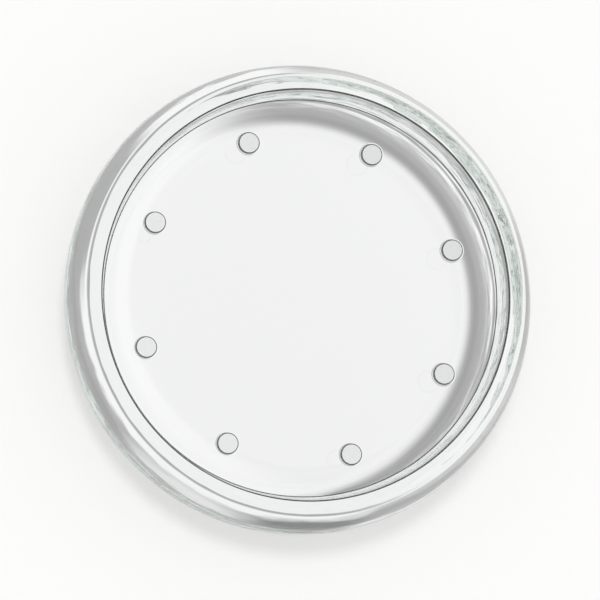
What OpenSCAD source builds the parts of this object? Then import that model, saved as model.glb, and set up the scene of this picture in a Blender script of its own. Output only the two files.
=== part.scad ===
// Pressed-glass weight that keeps vegetables under the brine in a fermentation jar.
// It is one piece of glass: a thick round puck with a bulging side, a raised rim, a wide
// recess with a steep wall and a dished edge to its floor, and a ring of small round studs
// on the flat of the floor, so that wet fingers don't slip on it.
// The origin is the middle of the flat underside.

/* [Body] */
// Widest diameter, halfway up the bulging side
outer_d = 90; // [70:1:120]
// Height from the underside to the top of the rim
height = 18; // [15:0.5:22]
// Radius of the bulge of the side, seen in section
bulge_r = 15.8; // [13:0.2:30]
// Rounding between the side and the top of the rim
rim_round = 1.5; // [0.5:0.1:2.5]
// Rounding between the side and the underside
base_round = 2; // [0.5:0.1:4]

/* [Recess] */
// Width of the rim, from the widest diameter in to the mouth of the recess
rim_w = 5.8; // [5.5:0.1:9]
// Rounding of the lip, where the rim turns down into the recess
lip_round = 0.4; // [0.2:0.1:0.8]
// Depth of the steep wall below the top of the rim
wall_depth = 5.8; // [3:0.1:7]
// Draft of the steep wall, in degrees from upright
wall_draft = 11; // [3:1:20]
// Radial width of the dish between the steep wall and the flat floor
dish_w = 4.2; // [3:0.1:8]
// Height that the dish rises by, from the flat floor to the foot of the steep wall
dish_rise = 2; // [0.8:0.1:3]

/* [Studs] */
// Number of studs in the ring
stud_count = 8; // [4:1:10]
// Diameter of one stud
stud_d = 4.2; // [3:0.1:5]
// Height of a stud above the flat floor
stud_h = 0.9; // [0.8:0.1:1.5]
// Gap between the edge of the flat floor and a stud
stud_gap = 0.5; // [0.3:0.1:5]
// Rounding of the edge of a stud's flat end
stud_end_round = 0.2; // [0.1:0.05:0.3]

/* [Hidden] */
$fn = 180;

outer_r = outer_d / 2;
mid_z = height / 2;
// Middle of the bulge's arc, in the section
bulge_mid = [outer_r - bulge_r, mid_z];

mouth_r = outer_r - rim_w;
wall_foot_r = mouth_r - wall_depth * tan(wall_draft);
wall_foot_z = height - wall_depth;
floor_z = wall_foot_z - dish_rise;
floor_r = wall_foot_r - dish_w;
// The dish is the arc that is level at the flat floor and ends at the foot of the wall
dish_r = (dish_w * dish_w + dish_rise * dish_rise) / (2 * dish_rise);

stud_r = stud_d / 2;
stud_ring_r = floor_r - stud_gap - stud_r;
// How far one shape runs past the next, so that they join or cut cleanly
bite = 1;

function unit(v) = v / norm(v);

// Middle of the rounding of radius r that touches the bulge's arc from inside and the
// level line at height z, on the bulge's outer side
function edge_mid(r, z) =
    let (rise = z > mid_z ? z - r - mid_z : z + r - mid_z)
    bulge_mid + [sqrt((bulge_r - r) * (bulge_r - r) - rise * rise), rise];

// Where a rounding of radius r touches the two sides of the corner at b, and its middle:
// [touch on the side to a, middle, touch on the side to c]
function rounding(a, b, c, r) =
    let (
        to_a = unit(a - b),
        to_c = unit(c - b),
        half = acos(to_a * to_c) / 2
    )
    [
        b + to_a * r / tan(half),
        b + unit(to_a + to_c) * r / sin(half),
        b + to_c * r / tan(half)
    ];

// The slice of a circle about middle between the radii through the points a and b
module slice(middle, r, a, b) {
    reach = 3 * r;
    intersection() {
        translate(middle) circle(r);
        polygon([middle, middle + unit(a - middle) * reach, middle + unit(b - middle) * reach]);
    }
}

// Half section of the puck without its recess, in radius and height. The straight outline is
// notched to the middle of each rounding, where a whole circle fills the corner, and the
// slice that makes the bulge overlaps it.
module puck_section() {
    rim_mid = edge_mid(rim_round, height);
    base_mid = edge_mid(base_round, 0);
    polygon([
        [0, 0],
        [base_mid.x, 0],
        base_mid,
        rim_mid,
        [rim_mid.x, height],
        [0, height]
    ]);
    translate(rim_mid) circle(rim_round);
    translate(base_mid) circle(base_round);
    slice(bulge_mid, bulge_r, base_mid, rim_mid);
}

// Half section of the recess, which is cut from the puck
module recess_section() {
    foot = [wall_foot_r, wall_foot_z];
    lip = rounding(foot, [mouth_r, height], [outer_r, height], lip_round);
    dish_mid = [floor_r, floor_z + dish_r];
    top = max(height, dish_mid.y) + bite;
    difference() {
        union() {
            polygon([
                [-bite, floor_z],
                [floor_r, floor_z],
                foot,
                lip[0],
                lip[1],
                lip[2],
                [lip[2].x, top],
                [-bite, top]
            ]);
            slice(dish_mid, dish_r, [floor_r, floor_z], foot);
        }
        translate(lip[1]) circle(lip_round);
    }
}

module puck() {
    rotate_extrude() {
        difference() {
            puck_section();
            recess_section();
        }
    }
}

// One stud, with the flat floor at height 0
module stud() {
    end_mid = [stud_r - stud_end_round, stud_h - stud_end_round];
    rotate_extrude() {
        polygon([
            [0, -bite],
            [stud_r, -bite],
            [stud_r, end_mid.y],
            end_mid,
            [end_mid.x, stud_h],
            [0, stud_h]
        ]);
        translate(end_mid) circle(stud_end_round);
    }
}

module glass_weight() {
    color([0.86, 0.93, 0.9, 0.45]) {
        puck();
        for (i = [0 : stud_count - 1]) {
            rotate(i * 360 / stud_count) translate([stud_ring_r, 0, floor_z]) stud();
        }
    }
}

glass_weight();
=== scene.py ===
import logging
import math
from dataclasses import dataclass, field
from enum import Enum
from typing import Any, Callable, Sequence

import bpy
import numpy as np
from mathutils import Matrix, Vector
from mathutils.geometry import delaunay_2d_cdt


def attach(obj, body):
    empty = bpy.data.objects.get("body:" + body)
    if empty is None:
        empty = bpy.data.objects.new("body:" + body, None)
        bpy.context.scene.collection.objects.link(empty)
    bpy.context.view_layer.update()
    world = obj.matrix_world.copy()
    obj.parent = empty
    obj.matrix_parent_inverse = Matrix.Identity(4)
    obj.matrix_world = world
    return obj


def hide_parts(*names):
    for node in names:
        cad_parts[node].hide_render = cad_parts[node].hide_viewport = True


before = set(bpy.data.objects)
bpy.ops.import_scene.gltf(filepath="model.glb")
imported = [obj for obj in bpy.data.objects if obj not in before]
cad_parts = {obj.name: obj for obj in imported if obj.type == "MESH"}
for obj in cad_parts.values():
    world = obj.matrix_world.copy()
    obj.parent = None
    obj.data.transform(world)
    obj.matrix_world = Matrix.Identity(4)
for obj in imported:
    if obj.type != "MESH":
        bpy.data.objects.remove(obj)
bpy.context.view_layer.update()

LOG = logging.getLogger("glass_weight")
MM = 0.001
# Lengths in millimetres that differ by less than this count as equal
HAIR = 1e-6
# How often light may turn where it passes through the glass, and where it is mirrored
GLASS_BOUNCES = 32
MIRROR_BOUNCES = 16


class Slot(Enum):
    """The finishes that the part's record names."""

    GLASS = "glass"


class Skin(Enum):
    """Where each finish, and the painted shade lines, lie in the weight's list of materials."""

    FIRE_POLISHED = 0
    MOULD_GRAINED = 1
    # Thin lines of near-black glass: painted shade for the dark edges at the lip, the wall's foot
    # and the studs
    PAINTED_SHADE_LINE = 2


def linear(colour: str) -> tuple[float, float, float, float]:
    """Turns an sRGB hex colour into the linear one that shaders take.

    Args:
        colour: A colour such as "#F4F6F5".

    Returns:
        Linear red, green and blue, and an alpha of 1.
    """
    channels = [int(colour[i : i + 2], 16) / 255 for i in (1, 3, 5)]
    bent = [c / 12.92 if c <= 0.04045 else ((c + 0.055) / 1.055) ** 2.4 for c in channels]
    return (*bent, 1.0)


def add_node(
    tree: bpy.types.NodeTree,
    kind: str,
    settings: dict[str, Any] | None = None,
    links: dict[str | int, Any] | None = None,
) -> bpy.types.Node:
    """Adds one node to a tree, sets it up and links its inputs.

    Args:
        tree: The material's or the world's node tree.
        kind: Blender's name for the node.
        settings: Values by name. A name of an input sets that input, and any other name
            sets the node's own property.
        links: Output sockets by the name or number of the input that they feed.

    Returns:
        The new node.
    """
    node = tree.nodes.new(kind)
    for name, value in (settings or {}).items():
        if isinstance(name, int) or name in node.inputs:
            node.inputs[name].default_value = value
        else:
            setattr(node, name, value)
    for name, socket in (links or {}).items():
        tree.links.new(socket, node.inputs[name])
    return node


def leaning(lean: float, bearing: float) -> Vector:
    """Works out a direction that leans out of the upright.

    Args:
        lean: Angle from straight up, in degrees.
        bearing: Where it leans to, in degrees round the weight's axis from +X.

    Returns:
        The direction, one unit long.
    """
    tilt, turn = math.radians(lean), math.radians(bearing)
    out = math.sin(tilt)
    return Vector((out * math.cos(turn), out * math.sin(turn), math.cos(tilt)))


class Outline:
    """The half section of a turned form, walked point by point with the glass on the left.

    Places are pairs of radius and height, in millimetres. An arc takes FEWEST_STEPS or more.
    """

    FEWEST_STEPS = 6

    def __init__(self, start: Sequence[float], facing: Sequence[float], step: float) -> None:
        """Starts the walk.

        Args:
            start: The first place.
            facing: The direction out of the glass there.
            step: Longest step on an arc, in millimetres.
        """
        self.places: list[np.ndarray] = [np.array(start, float)]
        self.facings: list[np.ndarray] = [np.array(facing, float)]
        self.step = step

    def line(self, end: Sequence[float], step: float = 1.0) -> None:
        """Walks straight to a point.

        Args:
            end: Where the stretch ends.
            step: Longest step, in millimetres.
        """
        start = self.places[-1]
        way = np.array(end, float) - start
        length = float(np.linalg.norm(way))
        facing = np.array([way[1], -way[0]]) / length
        count = math.ceil(length / step)
        for i in range(1, count + 1):
            self.places.append(start + way * i / count)
            self.facings.append(facing)

    def arc(self, middle: Sequence[float], end: Sequence[float], hollow: bool = False) -> None:
        """Walks round a middle to a point.

        Args:
            middle: Middle of the arc.
            end: Where the arc ends.
            hollow: Whether the glass is hollowed there and not rounded.
        """
        centre = np.array(middle, float)
        spoke = self.places[-1] - centre
        last = np.array(end, float) - centre
        size = float(np.linalg.norm(last))
        start_angle = math.atan2(spoke[1], spoke[0])
        turn = (math.atan2(last[1], last[0]) - start_angle + math.pi) % math.tau - math.pi
        count = max(self.FEWEST_STEPS, math.ceil(size * abs(turn) / self.step))
        for i in range(1, count + 1):
            angle = start_angle + turn * i / count
            ray = np.array([math.cos(angle), math.sin(angle)])
            self.places.append(centre + ray * size)
            self.facings.append(-ray if hollow else ray)

    def between(self, inner: float, outer: float) -> np.ndarray:
        """Finds the places whose radius lies between two others.

        Args:
            inner: The smaller radius.
            outer: The larger radius.

        Returns:
            The numbers of the places.
        """
        radius = np.array(self.places)[:, 0]
        return np.flatnonzero((radius > inner - HAIR) & (radius < outer + HAIR))


@dataclass(frozen=True)
class Cove:
    """A hollow arc that is level at the floor and runs up to a steep wall, with a small fillet.

    The radii are measured from the axis, and the floor is at height 0. The wall is on the
    arc's outer side where outward is 1, and on its inner side where outward is -1.
    """

    start_r: float
    width: float
    rise: float
    draft: float
    fillet: float
    outward: int = 1

    @property
    def middle(self) -> np.ndarray:
        """The arc's middle."""
        return np.array([self.start_r, self.size])

    @property
    def size(self) -> float:
        """The arc's radius."""
        return (self.width**2 + self.rise**2) / (2 * self.rise)

    @property
    def wall(self) -> np.ndarray:
        """The direction up the wall."""
        draft = math.radians(self.draft)
        return np.array([self.outward * math.sin(draft), math.cos(draft)])

    @property
    def foot(self) -> np.ndarray:
        """Where the arc and the wall would meet without the fillet."""
        return np.array([self.start_r + self.outward * self.width, self.rise])

    def fillet_points(self) -> tuple[np.ndarray, np.ndarray, np.ndarray]:
        """Works out the fillet.

        Returns:
            Where it touches the wall, its middle, and where it touches the arc.
        """
        inward = np.array([-self.outward * self.wall[1], self.outward * self.wall[0]])
        base = self.foot + inward * self.fillet - self.middle
        half = float(base @ self.wall)
        left = self.size - self.fillet
        # On the way up beside the wall, the first place that lies deep enough inside the arc
        along = -half - math.sqrt(half * half - float(base @ base) + left * left)
        if along < 0:
            raise ValueError("the fillet doesn't fit between the arc and the wall")
        spot = base + self.wall * along
        return (
            self.middle + spot - inward * self.fillet,
            self.middle + spot,
            self.middle + spot * self.size / left,
        )

    def height(self, radius: np.ndarray) -> tuple[np.ndarray, np.ndarray]:
        """Works out the floor's height and slope.

        Args:
            radius: Distance from the axis.

        Returns:
            The height above the flat floor and the slope outward.
        """
        over = np.clip((radius - self.start_r) * self.outward, 0, self.width)
        drop = np.sqrt(self.size**2 - over**2)
        return self.size - drop, self.outward * over / drop


@dataclass(frozen=True)
class MouldRipple:
    """The slight waviness that a pressed surface keeps, as a sum of long soft waves.

    Sizes are in millimetres. The waves close on themselves round the weight, and keep their
    length there at the radius round_r. They grow from nothing at the axis to full height at
    full_r, and over the distance fade from each end of a section. Each wave's share of the
    height is drawn from faintest up to 1. Slopes are taken over the step nudge, and no
    radius counts there as less than core_r.
    """

    seed: int = 7
    waves: int = 14
    depth: float = 0.012
    shortest: float = 9.0
    longest: float = 30.0
    faintest: float = 0.4
    round_r: float = 40.0
    full_r: float = 20.0
    fade: float = 2.0
    nudge: float = 1e-3
    core_r: float = 0.5

    def height(self, angle: np.ndarray, along: np.ndarray, radius: np.ndarray) -> np.ndarray:
        """Works out how far the surface stands out of its drawn form.

        Args:
            angle: Angle round the axis, in radians.
            along: Distance along the section.
            radius: Distance from the axis.

        Returns:
            The height of the surface at each place.
        """
        rng = np.random.default_rng(self.seed)
        total = np.zeros(np.broadcast(angle, along).shape)
        for _ in range(self.waves):
            length = rng.uniform(self.shortest, self.longest)
            heading = rng.uniform(0, math.tau)
            phase = rng.uniform(0, math.tau)
            share = rng.uniform(self.faintest, 1.0)
            count = round(math.cos(heading) * math.tau * self.round_r / length)
            across = math.sin(heading) * math.tau / length
            total += share * np.cos(count * angle + across * along + phase)
        return total * self.depth / math.sqrt(self.waves) * np.clip(radius / self.full_r, 0, 1)

    def press(
        self, angle: np.ndarray, along: np.ndarray, radius: np.ndarray
    ) -> tuple[np.ndarray, np.ndarray, np.ndarray]:
        """Works out how deep the waves are pressed into a section, and how they slope.

        Args:
            angle: Angle round the axis, in radians, as a row.
            along: Distance along the section, as a column.
            radius: Distance from the axis, as a column.

        Returns:
            The height of the surface at each place, which is never above 0, and its slopes
            along the section and round the axis.
        """
        fade = np.clip(np.minimum(along, along[-1] - along) / self.fade, 0, 1)
        wave = self.height(angle, along, radius)
        reach = np.maximum(radius, self.core_r)
        slope_along = (self.height(angle, along + self.nudge, radius) - wave) / self.nudge
        slope_round = (self.height(angle + self.nudge, along, radius) - wave) / self.nudge / reach
        highest = float(np.abs(wave).max())
        return (wave - highest) * fade, slope_along * fade, slope_round * fade


class Shell:
    """Points, facings and faces of one closed mesh, as it is put together in millimetres.

    Points of the floor that are nearer to each other than MERGE become one.
    """

    MERGE = 1e-7

    def __init__(self) -> None:
        """Starts an empty mesh."""
        self.places: list[np.ndarray] = []
        self.facings: list[np.ndarray] = []
        self.faces: list[tuple[int, ...]] = []
        self.skins: list[int] = []

    def put(self, places: np.ndarray, facings: np.ndarray) -> np.ndarray:
        """Adds points with their facings.

        Args:
            places: One row of three numbers for each point.
            facings: The outward direction at each point.

        Returns:
            The numbers of the new points.
        """
        first = sum(len(block) for block in self.places)
        self.places.append(places)
        self.facings.append(facings)
        return np.arange(first, first + len(places))

    def turn(
        self,
        outline: Outline,
        turns: int,
        middle: tuple[float, float] = (0.0, 0.0),
        ripple: MouldRipple | None = None,
        lay: Callable[[np.ndarray, np.ndarray], tuple[np.ndarray, np.ndarray]] | None = None,
    ) -> np.ndarray:
        """Turns an outline about an upright axis into a band of faces.

        Args:
            outline: The half section.
            turns: How many points go round.
            middle: Where the axis stands.
            ripple: Waviness to press into the surface, which fades out at both ends.
            lay: Changes the points and their facings before they are added.

        Returns:
            The numbers of the points, one row for each point of the outline.
        """
        flat = np.array(outline.places)
        facing = np.array(outline.facings)
        angle = np.arange(turns) * math.tau / turns
        along = np.concatenate([[0], np.cumsum(np.linalg.norm(np.diff(flat, axis=0), axis=1))])
        out = np.stack([np.cos(angle), np.sin(angle), np.zeros(turns)], axis=1)
        side = np.stack([-np.sin(angle), np.cos(angle), np.zeros(turns)], axis=1)
        up = np.array([0.0, 0.0, 1.0])
        place = flat[:, 0, None, None] * out + flat[:, 1, None, None] * up
        normal = facing[:, 0, None, None] * out + facing[:, 1, None, None] * up
        if ripple is not None:
            tangent = -facing[:, 1, None, None] * out + facing[:, 0, None, None] * up
            sunk, slope_along, slope_round = ripple.press(
                angle[None, :], along[:, None], flat[:, 0, None]
            )
            place = place + sunk[:, :, None] * normal
            normal = normal - slope_along[:, :, None] * tangent
            normal = normal - slope_round[:, :, None] * side[None, :, :]
            normal = normal / np.linalg.norm(normal, axis=2, keepdims=True)
        place = (place + np.array([middle[0], middle[1], 0.0])).reshape(-1, 3)
        normal = normal.reshape(-1, 3)
        if lay is not None:
            place, normal = lay(place, normal)
        rings = self.put(place, normal).reshape(len(flat), turns)
        for low, high in zip(rings, rings[1:]):
            for i in range(turns):
                j = (i + 1) % turns
                self._face((low[i], low[j], high[j], high[i]), Skin.FIRE_POLISHED)
        return rings

    def wear(self, rings: Sequence[np.ndarray], skin: Skin) -> None:
        """Gives the faces between some rings another skin.

        Args:
            rings: The numbers of the rings' points.
            skin: The finish of the faces.
        """
        chosen = set(np.concatenate(rings).tolist())
        for number, face in enumerate(self.faces):
            if chosen.issuperset(face):
                self.skins[number] = skin.value

    def is_level(self, ring: np.ndarray, height: float) -> bool:
        """Tells whether a ring lies at a height."""
        places = np.concatenate(self.places)[ring]
        return bool(np.all(np.abs(places[:, 2] - height) < HAIR))

    def cap(self, ring: np.ndarray, facing: float, skin: Skin = Skin.FIRE_POLISHED) -> None:
        """Closes a ring with a fan about its middle.

        Args:
            ring: The numbers of the ring's points, anticlockwise seen from above.
            facing: 1 where the cap faces up, and -1 where it faces down.
            skin: The finish of the faces.
        """
        places = np.concatenate(self.places)
        middle = places[ring].mean(axis=0)
        hub = int(self.put(middle[None], np.array([[0.0, 0.0, facing]]))[0])
        for i, start in enumerate(ring):
            end = ring[(i + 1) % len(ring)]
            self._face((start, end, hub) if facing > 0 else (end, start, hub), skin)

    def floor(self, rim: np.ndarray, holes: Sequence[np.ndarray], extra: np.ndarray) -> None:
        """Fills the floor of the recess between its rim and the studs, facing up.

        Args:
            rim: The numbers of the rim's points, anticlockwise.
            holes: The numbers of the points round each stud.
            extra: The numbers of points to pass through between them.
        """
        places = np.concatenate(self.places)
        numbers = np.concatenate([rim, *holes, extra])
        points = [Vector(places[n][:2]) for n in numbers]
        edges, start = [], 0
        for loop in (rim, *holes):
            size = len(loop)
            edges += [(start + (i - 1) % size, start + i) for i in range(size)]
            start += size
        middles = [places[hole][:, :2].mean(axis=0) for hole in holes]
        widths = [float(np.linalg.norm(places[h[0]][:2] - m)) for h, m in zip(holes, middles)]
        whole_hull = 0
        _, _, faces, sources, _, _ = delaunay_2d_cdt(points, edges, [], whole_hull, self.MERGE)
        for face in faces:
            corners = [numbers[sources[v][0]] for v in face]
            one, two, three = places[corners][:, :2]
            centre = (one + two + three) / 3
            if any(np.linalg.norm(centre - m) < w for m, w in zip(middles, widths)):
                continue
            turned = (two - one)[0] * (three - one)[1] - (two - one)[1] * (three - one)[0]
            self._face(corners if turned > 0 else corners[::-1], Skin.FIRE_POLISHED)

    def _face(self, corners: Sequence[int], skin: Skin) -> None:
        """Adds one face in its finish."""
        self.faces.append(tuple(int(c) for c in corners))
        self.skins.append(skin.value)

    def piece(self, name: str, materials: Sequence[bpy.types.Material]) -> bpy.types.Object:
        """Makes the Blender object, in metres.

        Args:
            name: The piece's name.
            materials: One material for each skin.

        Returns:
            The object, linked into the scene.
        """
        mesh = bpy.data.meshes.new(name)
        places = np.concatenate(self.places) * MM
        mesh.from_pydata(places.tolist(), [], self.faces)
        for material in materials:
            mesh.materials.append(material)
        mesh.polygons.foreach_set("material_index", self.skins)
        mesh.shade_smooth()
        mesh.normals_split_custom_set_from_vertices(np.concatenate(self.facings).tolist())
        mesh.update()
        made = bpy.data.objects.new(name, mesh)
        bpy.context.scene.collection.objects.link(made)
        return made


@dataclass(frozen=True)
class PressedGlass:
    """Clear soda-lime glass, as the body of every finish here.

    It gives the eye a bright, nearly colourless body that turns grey green where it is looked
    through the long way.
    """

    ior: float = 1.52
    tint: str = "#D9E6DF"
    tint_depth: float = 140 * MM

    def finish(self, name: str, colour: str, roughness: float) -> bpy.types.Material:
        """Builds a material of this glass.

        Args:
            name: Name of the material.
            colour: Colour that the surface gives to light that passes.
            roughness: Roughness of the surface.

        Returns:
            The material.
        """
        made = bpy.data.materials.new(name)
        made.use_nodes = True
        tree = made.node_tree
        tree.nodes.clear()
        body = add_node(
            tree,
            "ShaderNodeBsdfPrincipled",
            {
                "Base Color": linear(colour),
                "Roughness": roughness,
                "IOR": self.ior,
                "Transmission Weight": 1.0,
            },
        )
        depth = add_node(
            tree,
            "ShaderNodeVolumeAbsorption",
            {"Color": linear(self.tint), "Density": 1 / self.tint_depth},
        )
        add_node(
            tree,
            "ShaderNodeOutputMaterial",
            links={"Surface": body.outputs["BSDF"], "Volume": depth.outputs["Volume"]},
        )
        return made

    @staticmethod
    def roughen(material: bpy.types.Material, normal: Any) -> None:
        """Feeds a bumped normal to the surface.

        Args:
            material: A material of this glass.
            normal: Socket of the normal.
        """
        tree = material.node_tree
        body = next(node for node in tree.nodes if node.type == "BSDF_PRINCIPLED")
        tree.links.new(normal, body.inputs["Normal"])


@dataclass(frozen=True)
class FirePolishedGlass:
    """Pressed glass whose surface was melted smooth in a flame.

    It gives the eye a clear, sharp surface, with shallow streaks that run round the rim and
    the side.
    """

    glass: PressedGlass
    shade: str = "#FFFFFF"
    roughness: float = 0.0
    streak_length: float = 13 * MM
    streak_width: float = 2.2 * MM
    streak_height: float = 0.22 * MM
    streak_detail: float = 2.0
    streak_start: float = 38.8 * MM
    streak_full: float = 40.5 * MM
    rim_radius: float = 42 * MM

    def material(self) -> bpy.types.Material:
        """Builds the material.

        Returns:
            The material.
        """
        made = self.glass.finish("soda_lime_glass_fire_polished", self.shade, self.roughness)
        self.glass.roughen(made, self._streaks(made.node_tree))
        return made

    def _streaks(self, tree: bpy.types.NodeTree) -> Any:
        """Adds the streaks, as noise over the turn round the axis and the way along the section.

        Args:
            tree: The material's node tree.

        Returns:
            Socket of the bumped normal.
        """
        place = add_node(tree, "ShaderNodeTexCoord").outputs["Object"]
        parts = add_node(tree, "ShaderNodeSeparateXYZ", links={0: place})
        flat = add_node(
            tree, "ShaderNodeCombineXYZ", links={0: parts.outputs[0], 1: parts.outputs[1]}
        )
        radius = add_node(
            tree, "ShaderNodeVectorMath", {"operation": "LENGTH"}, {0: flat.outputs[0]}
        ).outputs["Value"]
        around = add_node(
            tree, "ShaderNodeVectorMath", {"operation": "NORMALIZE"}, {0: flat.outputs[0]}
        )
        turns = self.rim_radius / self.streak_length
        wound = add_node(
            tree,
            "ShaderNodeVectorMath",
            {"operation": "MULTIPLY", 1: (turns, turns, 0.0)},
            {0: around.outputs[0]},
        )
        section = add_node(tree, "ShaderNodeMath", links={0: radius, 1: parts.outputs[2]})
        across = add_node(
            tree,
            "ShaderNodeMath",
            {"operation": "DIVIDE", 1: self.streak_width},
            {0: section.outputs[0]},
        )
        lifted = add_node(tree, "ShaderNodeCombineXYZ", links={2: across.outputs[0]})
        spot = add_node(
            tree, "ShaderNodeVectorMath", links={0: wound.outputs[0], 1: lifted.outputs[0]}
        )
        noise = add_node(
            tree,
            "ShaderNodeTexNoise",
            {"Scale": 1.0, "Detail": self.streak_detail},
            {"Vector": spot.outputs[0]},
        )
        share = add_node(
            tree,
            "ShaderNodeMapRange",
            {
                "interpolation_type": "SMOOTHSTEP",
                "From Min": self.streak_start,
                "From Max": self.streak_full,
            },
            {"Value": radius},
        )
        bump = add_node(
            tree,
            "ShaderNodeBump",
            {"Distance": self.streak_height},
            {"Strength": share.outputs["Result"], "Height": noise.outputs["Fac"]},
        )
        return bump.outputs["Normal"]


@dataclass(frozen=True)
class MouldGrainedGlass:
    """Pressed glass that was chilled against the sandy ends of the stud moulds.

    It gives the eye small matt discs with a fine grain. The real grain is too fine to show,
    so it is drawn coarser.
    """

    glass: PressedGlass
    shade: str = "#F7F8F7"
    roughness: float = 0.35
    grain: float = 0.3 * MM
    grain_height: float = 0.05 * MM
    grain_strength: float = 0.8
    grain_detail: float = 3.0

    def material(self) -> bpy.types.Material:
        """Builds the material.

        Returns:
            The material.
        """
        made = self.glass.finish("soda_lime_glass_mould_grained", self.shade, self.roughness)
        tree = made.node_tree
        place = add_node(tree, "ShaderNodeTexCoord")
        grain = add_node(
            tree,
            "ShaderNodeTexNoise",
            {"Scale": 1 / self.grain, "Detail": self.grain_detail},
            {"Vector": place.outputs["Object"]},
        )
        bump = add_node(
            tree,
            "ShaderNodeBump",
            {"Strength": self.grain_strength, "Distance": self.grain_height},
            {"Height": grain.outputs["Fac"]},
        )
        self.glass.roughen(made, bump.outputs["Normal"])
        return made


@dataclass(frozen=True)
class PaintedShadeLineGlass:
    """Pressed glass painted near black in thin lines, as painted shade for dark edges.

    It gives the eye a thin dark line round each stud, at the lip and at the foot of the wall.
    """

    glass: PressedGlass
    # Colour of the painted shade lines
    shade_line_colour: str = "#1C201F"
    roughness: float = 0.12

    def material(self) -> bpy.types.Material:
        """Builds the material."""
        return self.glass.finish("soda_lime_glass_painted_shade_line", self.shade_line_colour, self.roughness)


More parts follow.
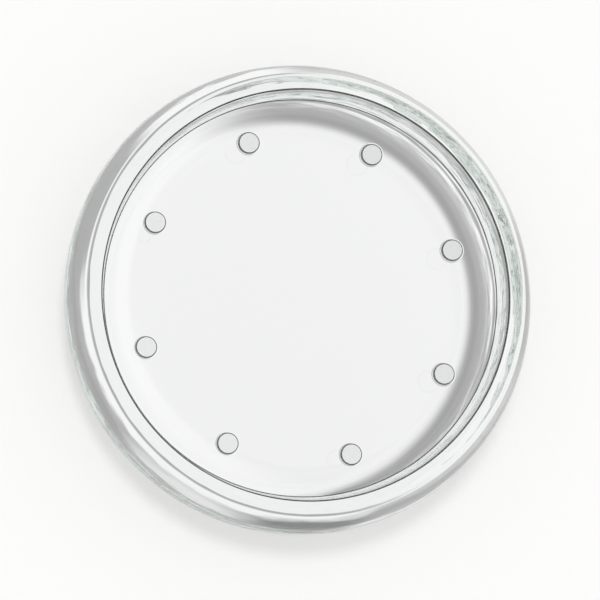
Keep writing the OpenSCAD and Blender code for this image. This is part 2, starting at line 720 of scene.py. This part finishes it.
@dataclass
class GlassWeight:
    """The one pressed piece: a bulging puck with a recess and a ring of studs.

    Lengths are in millimetres and angles in degrees. The ring of studs is placed from flat_w,
    the width that the dish has in the solid, and then laid on the wider, softer dish of dish_w.
    The painted shade line covers shade_line_in of the wall and shade_line_out of the rim at
    the lip, and shade_line_edge of each stud's radius.
    """

    outer_d: float = 90.0
    height: float = 18.0
    bulge_r: float = 15.8
    rim_round: float = 1.5
    base_round: float = 2.0
    rim_w: float = 5.8
    lip_round: float = 0.4
    wall_depth: float = 5.8
    wall_draft: float = 11.0
    wall_fillet: float = 0.35
    flat_w: float = 4.2
    dish_w: float = 6.8
    dish_rise: float = 2.0
    stud_count: int = 8
    stud_d: float = 4.2
    stud_h: float = 0.9
    stud_gap: float = 0.5
    stud_end_round: float = 0.2
    flare_w: float = 0.3
    flare_rise: float = 0.12
    shank_draft: float = 4.0
    shank_fillet: float = 0.05
    # Widths of the painted shade lines
    shade_line_in: float = 0.1
    shade_line_out: float = 0.27
    shade_line_edge: float = 0.36
    turns: int = 360
    stud_turns: int = 72
    arc_step: float = 0.13
    stud_arc_step: float = 0.06
    stud_line_step: float = 0.2
    end_line_step: float = 0.3
    end_hub_r: float = 0.2
    base_ring: float = 0.5
    join_gap: float = 0.3
    floor_row: float = 0.15
    floor_edge: float = 0.1
    flare_edge: float = 0.05
    row_twist: float = 1e-3
    ripple: MouldRipple = field(default_factory=MouldRipple)

    def __post_init__(self) -> None:
        """Works out the sizes that follow from the others."""
        outer_r = self.outer_d / 2
        self.mouth_r = outer_r - self.rim_w
        wall_foot_r = self.mouth_r - self.wall_depth * math.tan(math.radians(self.wall_draft))
        self.floor_r = wall_foot_r - self.dish_w
        flat_r = wall_foot_r - self.flat_w
        self.floor_z = self.height - self.wall_depth - self.dish_rise
        self.ring_r = flat_r - self.stud_gap - self.stud_d / 2
        self.join_r = self.ring_r + self.stud_d / 2 + self.flare_w + self.join_gap
        self.dish = Cove(
            self.floor_r, self.dish_w, self.dish_rise, self.wall_draft, self.wall_fillet
        )
        self.flare = Cove(
            self.stud_d / 2 + self.flare_w,
            self.flare_w,
            self.flare_rise,
            self.shank_draft,
            self.shank_fillet,
            outward=-1,
        )

    def _edge_middle(self, rounding: float, height: float) -> np.ndarray:
        """Finds the middle of a rounding between the bulging side and a level face.

        Args:
            rounding: The rounding's radius.
            height: Height of the level face.

        Returns:
            The middle, as radius and height.
        """
        half = self.height / 2
        rise = height - math.copysign(rounding, height - half) - half
        reach = math.sqrt((self.bulge_r - rounding) ** 2 - rise**2)
        return np.array([self.outer_d / 2 - self.bulge_r + reach, half + rise])

    def body_outline(self) -> Outline:
        """Draws the puck from its underside round to where the studs' floor begins.

        Returns:
            The outline, with the underside at height 0.
        """
        up = np.array([0.0, 1.0])
        bulge = np.array([self.outer_d / 2 - self.bulge_r, self.height / 2])
        base = self._edge_middle(self.base_round, 0.0)
        rim = self._edge_middle(self.rim_round, self.height)
        to_base = (base - bulge) / np.linalg.norm(base - bulge)
        to_rim = (rim - bulge) / np.linalg.norm(rim - bulge)

        draft = math.radians(self.wall_draft)
        lip_reach = self.lip_round * math.tan((math.pi / 2 - draft) / 2)
        lip = np.array([self.mouth_r + lip_reach, self.height - self.lip_round])
        down = np.array([-math.sin(draft), -math.cos(draft)])
        lip_end = np.array([self.mouth_r, self.height]) + down * lip_reach

        floor = np.array([0.0, self.floor_z])
        wall_touch, fillet, dish_touch = (p + floor for p in self.dish.fillet_points())
        join_z = float(self.dish.height(np.array(self.join_r))[0]) + self.floor_z

        outline = Outline([base[0] - self.base_ring, 0.0], -up, step=self.arc_step)
        outline.line([base[0], 0.0])
        outline.arc(base, base + to_base * self.base_round)
        outline.arc(bulge, bulge + to_rim * self.bulge_r)
        outline.arc(rim, rim + up * self.rim_round)
        outline.line(lip + up * self.lip_round)
        outline.arc(lip, lip_end)
        outline.line(wall_touch)
        outline.arc(fillet, dish_touch, hollow=True)
        outline.arc(self.dish.middle + floor, [self.join_r, join_z], hollow=True)
        return outline

    def stud_outline(self) -> Outline:
        """Draws one stud from the edge of its flare in to its flat end.

        Returns:
            The outline, with the floor at height 0.
        """
        up = np.array([0.0, 1.0])
        touch, fillet, flare_touch = self.flare.fillet_points()
        draft = math.radians(self.shank_draft)
        stud_r = self.stud_d / 2
        top_r = stud_r - (self.stud_h - self.flare_rise) * math.tan(draft)
        reach = self.stud_end_round * math.tan((math.pi / 2 - draft) / 2)
        end = np.array([top_r - reach, self.stud_h - self.stud_end_round])
        side_end = np.array([top_r, self.stud_h]) + np.array(
            [math.sin(draft), -math.cos(draft)]
        ) * reach
        outline = Outline([self.flare.start_r, 0.0], up, step=self.stud_arc_step)
        outline.arc(self.flare.middle, flare_touch, hollow=True)
        outline.arc(fillet, touch, hollow=True)
        outline.line(side_end, step=self.stud_line_step)
        outline.arc(end, end + up * self.stud_end_round)
        outline.line([self.end_hub_r, self.stud_h], step=self.end_line_step)
        return outline

    def _lay_on_floor(self, flat: np.ndarray, facing: np.ndarray) -> tuple[np.ndarray, np.ndarray]:
        """Lifts points that were drawn over a flat floor onto the dished one.

        Args:
            flat: The points, with the floor at height 0.
            facing: Their facings.

        Returns:
            The points at their real heights, and their facings there.
        """
        radius = np.hypot(flat[:, 0], flat[:, 1])
        lift, slope = self.dish.height(radius)
        share = np.clip(1 - flat[:, 2] / self.stud_h, 0, 1)
        placed = flat + np.stack([0 * lift, 0 * lift, self.floor_z + lift * share], axis=1)
        outward = flat[:, :2] / np.maximum(radius, HAIR)[:, None]
        tilt = (slope * share * facing[:, 2])[:, None] * outward
        turned = facing - np.concatenate([tilt, np.zeros((len(flat), 1))], axis=1)
        return placed, turned / np.linalg.norm(turned, axis=1, keepdims=True)

    def build(self) -> Shell:
        """Builds the weight's surface, with its finishes and painted shade lines marked on it.

        Returns:
            The closed mesh.
        """
        shell = Shell()
        section = self.body_outline()
        body = shell.turn(section, self.turns, ripple=self.ripple)
        shell.cap(body[0], -1.0)
        wall_touch, _, dish_touch = self.dish.fillet_points()
        # The foot of the wall and the lip get painted shade lines
        foot = (dish_touch[0], wall_touch[0])
        lip = (self.mouth_r - self.shade_line_in, self.mouth_r + self.shade_line_out)
        for corner in (foot, lip):
            shell.wear(body[section.between(*corner)], Skin.PAINTED_SHADE_LINE)
        stud = self.stud_outline()
        edges = []
        for i in range(self.stud_count):
            angle = math.tau * i / self.stud_count
            middle = (self.ring_r * math.cos(angle), self.ring_r * math.sin(angle))
            rings = shell.turn(stud, self.stud_turns, middle, lay=self._lay_on_floor)
            flat = [ring for ring in rings if shell.is_level(ring, self.floor_z + self.stud_h)]
            shell.wear(flat, Skin.MOULD_GRAINED)
            # The outer edge of each stud gets a painted shade line
            shade_ring = rings[stud.between(self.stud_d / 2 - self.shade_line_edge, self.stud_d / 2)]
            shell.wear(shade_ring, Skin.PAINTED_SHADE_LINE)
            shell.cap(rings[-1], 1.0, Skin.MOULD_GRAINED)
            edges.append(rings[0])
        shell.floor(body[-1], edges, self._floor_points(shell))
        return shell

    def _floor_points(self, shell: Shell) -> np.ndarray:
        """Puts points on the dished edge of the floor between the studs' flares.

        Args:
            shell: The mesh.

        Returns:
            The numbers of the points.
        """
        angle = np.arange(self.turns) * math.tau / self.turns
        rows = np.arange(self.floor_r, self.join_r - self.floor_edge, self.floor_row)
        radius, turn = (grid.ravel() for grid in np.meshgrid(rows, angle, indexing="ij"))
        turn = turn + (radius - self.floor_r) * self.row_twist
        flat = np.stack([radius * np.cos(turn), radius * np.sin(turn), 0 * radius], axis=1)
        clear = np.ones(len(flat), bool)
        for i in range(self.stud_count):
            at = math.tau * i / self.stud_count
            middle = np.array([self.ring_r * math.cos(at), self.ring_r * math.sin(at)])
            reach = np.linalg.norm(flat[:, :2] - middle, axis=1)
            clear &= reach > self.flare.start_r + self.flare_edge
        flat = flat[clear]
        up = np.tile([0.0, 0.0, 1.0], (len(flat), 1))
        return shell.put(*self._lay_on_floor(flat, up))

    def dress(self, shell: Shell) -> bpy.types.Object:
        """Makes the piece in its finishes and ties it to the frame.

        Args:
            shell: The closed mesh.

        Returns:
            The finished piece.
        """
        glass = PressedGlass()
        # The last finish paints the shade lines
        finishes = (FirePolishedGlass(glass), MouldGrainedGlass(glass), PaintedShadeLineGlass(glass))
        piece = shell.piece("pressed_glass_weight", [finish.material() for finish in finishes])
        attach(piece, "root")
        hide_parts("glass_weight")
        return piece


@dataclass(frozen=True)
class TableTop:
    """A plain white table under the weight, which the glass sees through to the room.

    The camera sees matt_share of it as matt and the rest as a glow, so that it stays white
    and keeps a soft shadow.
    """

    half_width: float = 3.0
    height: float = -0.05 * MM
    colour: str = "#FDFDFC"
    matt_share: float = 0.55
    glow: float = 1.0

    def build(self) -> None:
        """Makes the table's top."""
        mesh = bpy.data.meshes.new("table_top")
        w = self.half_width
        z = self.height
        mesh.from_pydata([(-w, -w, z), (w, -w, z), (w, w, z), (-w, w, z)], [], [(0, 1, 2, 3)])
        mesh.materials.append(self._material())
        table = bpy.data.objects.new("table_top", mesh)
        bpy.context.scene.collection.objects.link(table)

    def _material(self) -> bpy.types.Material:
        """Builds the sheet's material.

        Returns:
            The material.
        """
        made = bpy.data.materials.new("matt_white_sheet")
        made.use_nodes = True
        tree = made.node_tree
        tree.nodes.clear()
        ray = add_node(tree, "ShaderNodeLightPath")
        matt = add_node(tree, "ShaderNodeBsdfDiffuse", {"Color": linear(self.colour)})
        glow = add_node(
            tree, "ShaderNodeEmission", {"Color": linear(self.colour), "Strength": self.glow}
        )
        share = add_node(
            tree,
            "ShaderNodeMath",
            {"operation": "MULTIPLY", 1: 1 - self.matt_share},
            {0: ray.outputs["Is Camera Ray"]},
        )
        white = add_node(
            tree,
            "ShaderNodeMixShader",
            links={0: share.outputs[0], 1: matt.outputs["BSDF"], 2: glow.outputs["Emission"]},
        )
        clear = add_node(tree, "ShaderNodeBsdfTransparent")
        mixed = add_node(
            tree,
            "ShaderNodeMixShader",
            links={
                0: ray.outputs["Is Transmission Ray"],
                1: white.outputs["Shader"],
                2: clear.outputs["BSDF"],
            },
        )
        add_node(tree, "ShaderNodeOutputMaterial", links={"Surface": mixed.outputs["Shader"]})
        return made


@dataclass(frozen=True)
class Patch:
    """A round card or gap in the room, as the weight sees it. Angles are in degrees.

    The bearing is measured round the weight's axis from +X, and the fall from straight down.
    The patch is full inside the inner angle and fades out to the outer one.
    """

    bearing: float
    fall: float
    inner: float
    outer: float
    brightness: float

    def direction(self) -> tuple[float, float, float]:
        """Works out the direction to the patch."""
        up = leaning(self.fall, self.bearing)
        return (up.x, up.y, -up.z)


@dataclass(frozen=True)
class StudioRoom:
    """The light all round the table.

    The table and the air see an even plain room. The glass sees what makes it readable. On
    the near side that goes by the angle from straight down, in degrees: a white sheet, a
    grey floor past it, a dark gap, and the lights. On the far side it goes by how far a ray
    leans out of the upright, from 0 to 1: the sheet, a soft dark gap past its edge, a bright
    card, and a grey wall. Each pair is such a place with the brightness there. The sides
    blend over a range of how far a ray leans towards the far side, and the patches lie over
    both.
    """

    plain: float = 0.72
    far_bearing: float = -9.5
    near_side: tuple[tuple[float, float], ...] = (
        (0, 0.96),
        (27.0, 0.95),
        (33.0, 0.62),
        (43.0, 0.52),
        (48.0, 0.32),
        (62.0, 0.32),
        (72.0, 0.80),
        (110.0, 0.90),
        (160.0, 1.00),
    )
    far_side: tuple[tuple[float, float], ...] = (
        (0.00, 0.96),
        (0.12, 0.93),
        (0.17, 0.87),
        (0.26, 0.92),
        (0.285, 0.84),
        (0.325, 0.42),
        (0.345, 0.35),
        (0.38, 0.37),
        (0.42, 0.47),
        (0.45, 0.62),
        (0.50, 0.97),
        (0.755, 0.95),
        (0.79, 0.45),
        (0.87, 0.36),
        (0.91, 0.32),
        (0.95, 0.36),
        (1.00, 0.42),
    )
    blend: tuple[float, float] = (0.06, 0.22)
    patches: tuple[Patch, ...] = (
        Patch(60.0, 58.0, 6.0, 16.0, 0.16),
        Patch(33.0, 62.0, 6.0, 17.0, 0.80),
        Patch(-28.0, 50.0, 7.0, 19.0, 0.38),
        Patch(151.5, 40.0, 8.0, 22.0, 0.34),
        Patch(41.5, 140.0, 8.0, 22.0, 0.42),
    )

    def build(self) -> None:
        """Builds the world."""
        world = bpy.data.worlds.new("studio_room")
        bpy.context.scene.world = world
        world.use_nodes = True
        tree = world.node_tree
        tree.nodes.clear()
        way = add_node(tree, "ShaderNodeTexCoord").outputs["Generated"]
        fall = self._angle_to(tree, way, (0.0, 0.0, -1.0))
        far = math.radians(self.far_bearing)
        along = add_node(
            tree,
            "ShaderNodeVectorMath",
            {"operation": "DOT_PRODUCT", 1: (math.cos(far), math.sin(far), 0.0)},
            {0: way},
        )
        share = add_node(
            tree,
            "ShaderNodeMapRange",
            {
                "interpolation_type": "SMOOTHSTEP",
                "From Min": self.blend[0],
                "From Max": self.blend[1],
            },
            {"Value": along.outputs["Value"]},
        )
        level = add_node(
            tree, "ShaderNodeVectorMath", {"operation": "MULTIPLY", 1: (1.0, 1.0, 0.0)}, {0: way}
        )
        reach = add_node(
            tree, "ShaderNodeVectorMath", {"operation": "LENGTH"}, {0: level.outputs["Vector"]}
        )
        turn = add_node(tree, "ShaderNodeMath", {"operation": "DIVIDE", 1: math.pi}, {0: fall})
        near_stops = [(angle / 180, value) for angle, value in self.near_side]
        near_side = self._ramp(tree, turn.outputs["Value"], near_stops)
        far_side = self._ramp(tree, reach.outputs["Value"], self.far_side)
        seen = self._mix(tree, share.outputs["Result"], near_side, far_side)
        for patch in self.patches:
            angle = self._angle_to(tree, way, patch.direction())
            cover = add_node(
                tree,
                "ShaderNodeMapRange",
                {
                    "interpolation_type": "SMOOTHSTEP",
                    "From Min": math.radians(patch.outer),
                    "From Max": math.radians(patch.inner),
                },
                {"Value": angle},
            )
            seen = self._mix(tree, cover.outputs["Result"], seen, patch.brightness)
        ray = add_node(tree, "ShaderNodeLightPath")
        glassy = add_node(
            tree,
            "ShaderNodeMath",
            {"operation": "MAXIMUM"},
            {0: ray.outputs["Is Glossy Ray"], 1: ray.outputs["Is Transmission Ray"]},
        )
        shown = self._mix(tree, glassy.outputs["Value"], self.plain, seen)
        light = add_node(tree, "ShaderNodeBackground", {"Color": (1, 1, 1, 1)}, {"Strength": shown})
        add_node(tree, "ShaderNodeOutputWorld", links={"Surface": light.outputs["Background"]})

    @staticmethod
    def _angle_to(tree: bpy.types.NodeTree, way: Any, target: tuple[float, float, float]) -> Any:
        """Adds the angle between a direction and a fixed one.

        Args:
            tree: The world's node tree.
            way: Socket of the direction.
            target: The fixed direction.

        Returns:
            Socket of the angle, in radians.
        """
        dot = add_node(
            tree, "ShaderNodeVectorMath", {"operation": "DOT_PRODUCT", 1: target}, {0: way}
        )
        angle = add_node(
            tree, "ShaderNodeMath", {"operation": "ARCCOSINE"}, {0: dot.outputs["Value"]}
        )
        return angle.outputs["Value"]

    @staticmethod
    def _ramp(tree: bpy.types.NodeTree, place: Any, pairs: Sequence[tuple[float, float]]) -> Any:
        """Adds brightness that changes from place to place.

        Args:
            tree: The world's node tree.
            place: Socket of the place, from 0 to 1.
            pairs: The places and their brightness.

        Returns:
            Socket of the brightness.
        """
        ramp = add_node(tree, "ShaderNodeValToRGB", links={"Fac": place})
        stops = ramp.color_ramp.elements
        stops[1].position = pairs[-1][0]
        for position, _ in pairs[1:-1]:
            stops.new(position)
        for stop, (position, value) in zip(stops, pairs):
            stop.position = position
            stop.color = (value, value, value, 1.0)
        return ramp.outputs["Color"]

    @staticmethod
    def _mix(tree: bpy.types.NodeTree, share: Any, under: Any, over: Any) -> Any:
        """Adds a mix of two brightnesses.

        Args:
            tree: The world's node tree.
            share: Socket of the second one's share.
            under: The first one, as a socket or a number.
            over: The second one, as a socket or a number.

        Returns:
            Socket of the mixed brightness.
        """
        node = add_node(tree, "ShaderNodeMix", {"data_type": "FLOAT"}, {0: share})
        for number, value in ((2, under), (3, over)):
            if isinstance(value, (int, float)):
                node.inputs[number].default_value = value
            else:
                tree.links.new(value, node.inputs[number])
        return node.outputs[0]


@dataclass(frozen=True)
class SoftLamp:
    """The lamp over the table that lays the weight's soft shadow. Angles are in degrees.

    It isn't seen in the glass or through it, where it would make hard glints.
    """

    bearing: float = 86.0
    lean: float = 17.0
    softness: float = 14.0
    strength: float = 0.95

    def build(self) -> None:
        """Makes the lamp."""
        light = bpy.data.lights.new("soft_lamp", "SUN")
        light.energy = self.strength
        light.angle = math.radians(self.softness)
        lamp = bpy.data.objects.new("soft_lamp", light)
        lamp.visible_glossy = False
        lamp.visible_transmission = False
        back = leaning(self.lean, self.bearing)
        lamp.rotation_euler = back.to_track_quat("Z", "Y").to_euler()
        bpy.context.scene.collection.objects.link(lamp)


@dataclass(frozen=True)
class PhotoCamera:
    """The camera over the weight. Lengths are in millimetres and angles in degrees.

    The bearings are measured round the weight's axis from +X.
    """

    distance: float = 1200.0
    tilt: float = 12.5
    bearing: float = 193.5
    up_bearing: float = 71.5
    aim: tuple[float, float, float] = (0.27, -0.19, 9.0)
    px_per_mm: float = 5.24
    frame_px: float = 600.0
    sensor: float = 36.0
    nearest: float = 10.0
    farthest: float = 20000.0

    def build(self) -> None:
        """Makes the camera and gives it to the scene."""
        back = leaning(self.tilt, self.bearing)
        up_bearing = math.radians(self.up_bearing)
        hint = Vector((math.cos(up_bearing), math.sin(up_bearing), 0))
        right = hint.cross(back).normalized()
        up = back.cross(right)
        lens = bpy.data.cameras.new("photo_camera")
        lens.sensor_width = self.sensor
        lens.lens = self.px_per_mm * self.distance / self.frame_px * self.sensor
        lens.clip_start = self.nearest * MM
        lens.clip_end = self.farthest * MM
        camera = bpy.data.objects.new("photo_camera", lens)
        place = (Vector(self.aim) + back * self.distance) * MM
        camera.matrix_world = Matrix.Translation(place) @ Matrix(
            (
                (right.x, up.x, back.x),
                (right.y, up.y, back.y),
                (right.z, up.z, back.z),
            )
        ).to_4x4()
        bpy.context.scene.collection.objects.link(camera)
        bpy.context.scene.camera = camera


def main() -> None:
    """Builds the stage, the light, the camera and the weight."""
    logging.basicConfig(level=logging.INFO, format="%(message)s")
    bpy.context.scene.view_settings.view_transform = "Standard"
    bpy.context.scene.cycles.max_bounces = GLASS_BOUNCES
    bpy.context.scene.cycles.transmission_bounces = GLASS_BOUNCES
    bpy.context.scene.cycles.glossy_bounces = MIRROR_BOUNCES
    PhotoCamera().build()
    LOG.info("camera in place")
    TableTop().build()
    StudioRoom().build()
    SoftLamp().build()
    LOG.info("table and light in place")
    weight = GlassWeight()
    shell = weight.build()
    piece = weight.dress(shell)
    LOG.info("%s: %d faces", piece.name, len(shell.faces))


if __name__ == "__main__":
    main()
